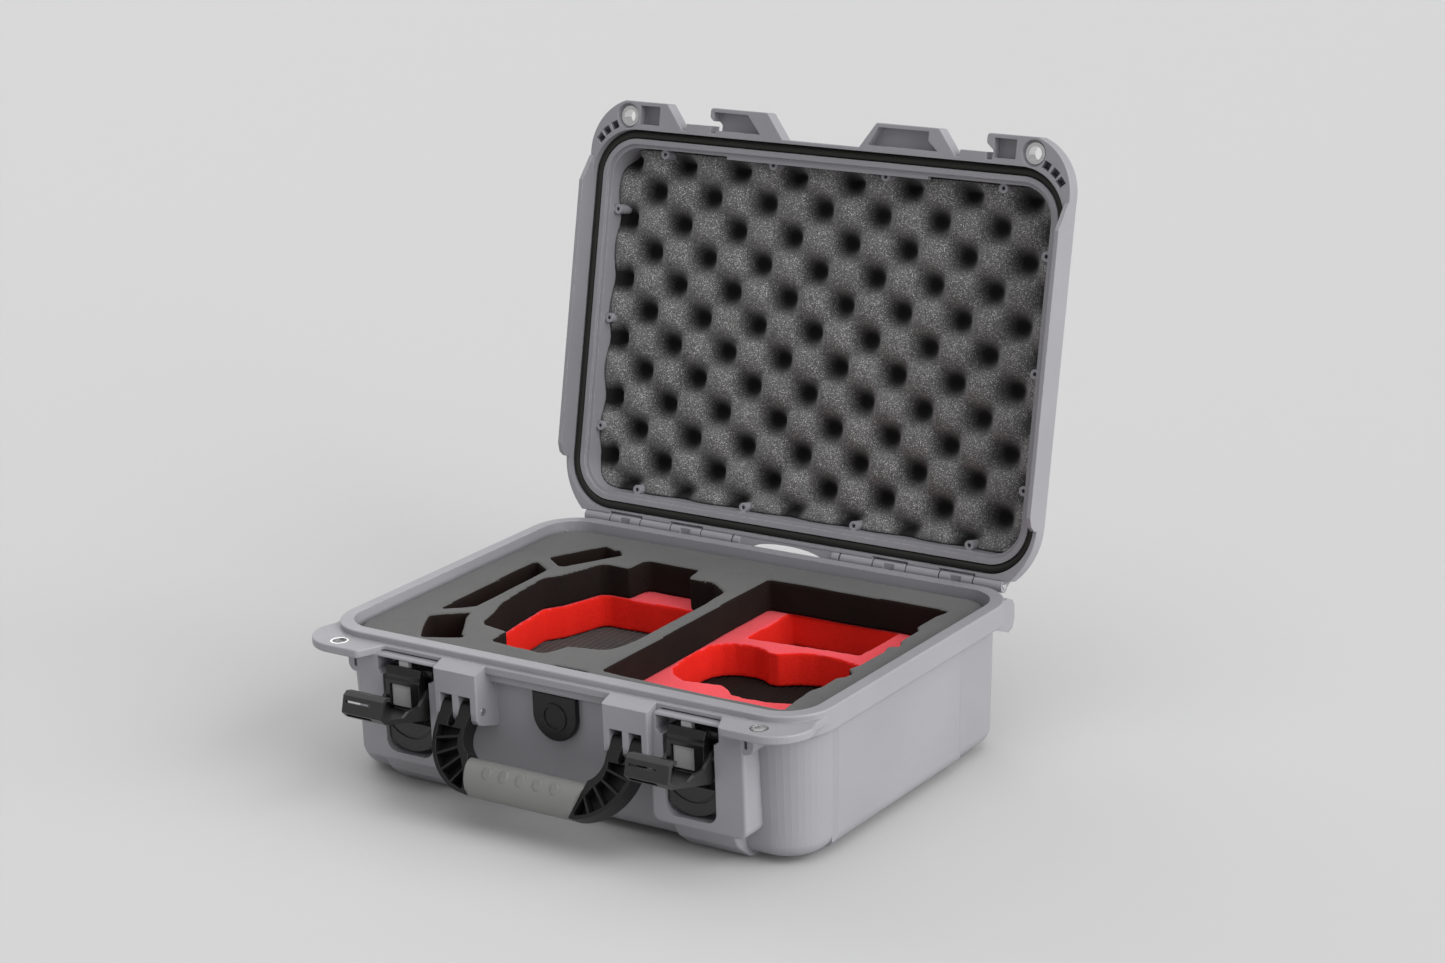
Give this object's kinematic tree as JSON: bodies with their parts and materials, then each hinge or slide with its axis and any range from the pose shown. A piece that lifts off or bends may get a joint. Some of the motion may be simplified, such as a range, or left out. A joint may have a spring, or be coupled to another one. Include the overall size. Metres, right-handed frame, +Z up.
{
  "type": "hard carrying case",
  "caption": "Hard carrying case with hinged lid, claw latches, folding handle, pressure valve, lid seal and cut foam shaped for a folding drone, its battery, controller and blades.",
  "frame": {"origin": "centre of the stacking pad's flat face under the base, on the surface that the case stands on", "axes": "+X to the case's right seen from the front, +Y from the latches towards the hinge, +Z up"},
  "size_m": [0.4094, 0.4564, 0.4184],
  "materials": {
    "shell": "fine textured grey polypropylene",
    "steel": "bright stainless",
    "valve": "black, satin",
    "membrane": "white vent cloth",
    "latch": "black glass-filled nylon, satin",
    "striker": "light grey, polished",
    "guard": "black, faintly glossy",
    "grip": "mid grey soft-touch overmould",
    "seal": "dark olive-black O-ring",
    "foam_dark": "charcoal open-cell foam",
    "foam_red": "red closed-cell foam",
    "foam_grey": "dark grey closed-cell foam"
  },
  "bodies": {
    "base": {"base_shell": "shell", "base_eyelets": "steel", "hinge_pins": "steel", "handle_pins": "steel", "valve_body": "valve", "valve_membrane": "membrane", "valve_nut": "valve", "latch_block_left": "latch", "latch_striker_left": "striker", "latch_pin_left": "steel", "latch_guard_left": "guard", "latch_block_right": "latch", "latch_striker_right": "striker", "latch_pin_right": "steel", "latch_guard_right": "guard", "foam_floor": "foam_dark", "foam_red": "foam_red", "foam_top": "foam_grey"},
    "lid": {"lid_shell": "shell", "lid_seal": "seal", "lid_foam": "foam_dark", "lid_eyelets": "steel"},
    "handle": {"handle_frame": "latch", "handle_grip": "grip"},
    "lever_left": {"latch_lever_left": "latch"},
    "lever_right": {"latch_lever_right": "latch"},
    "slider_left": {"latch_slider_left": "latch"},
    "slider_right": {"latch_slider_right": "latch"}
  },
  "joints": [
    {"name": "lid_hinge", "type": "hinge", "parent": "base", "child": "lid", "pos_m": [0, 0.151, 0.1089], "axis": [1, 0, 0], "range_deg": [0, 102.5]},
    {"name": "handle_swing", "type": "hinge", "parent": "base", "child": "handle", "pos_m": [0, -0.1515, 0.074], "axis": [-1, 0, 0], "range_deg": [-33, 57]},
    {"name": "latch_left_lever", "type": "hinge", "parent": "base", "child": "lever_left", "pos_m": [-0.117, -0.148, 0.075], "axis": [-1, 0, 0], "range_deg": [0, 75]},
    {"name": "latch_right_lever", "type": "hinge", "parent": "base", "child": "lever_right", "pos_m": [0.117, -0.148, 0.075], "axis": [-1, 0, 0], "range_deg": [0, 75]},
    {"name": "latch_left_slider", "type": "slide", "parent": "base", "child": "slider_left", "axis": [1, 0, 0], "range_m": [0, 0.006]},
    {"name": "latch_right_slider", "type": "slide", "parent": "base", "child": "slider_right", "axis": [1, 0, 0], "range_m": [0, 0.006]}
  ]
}
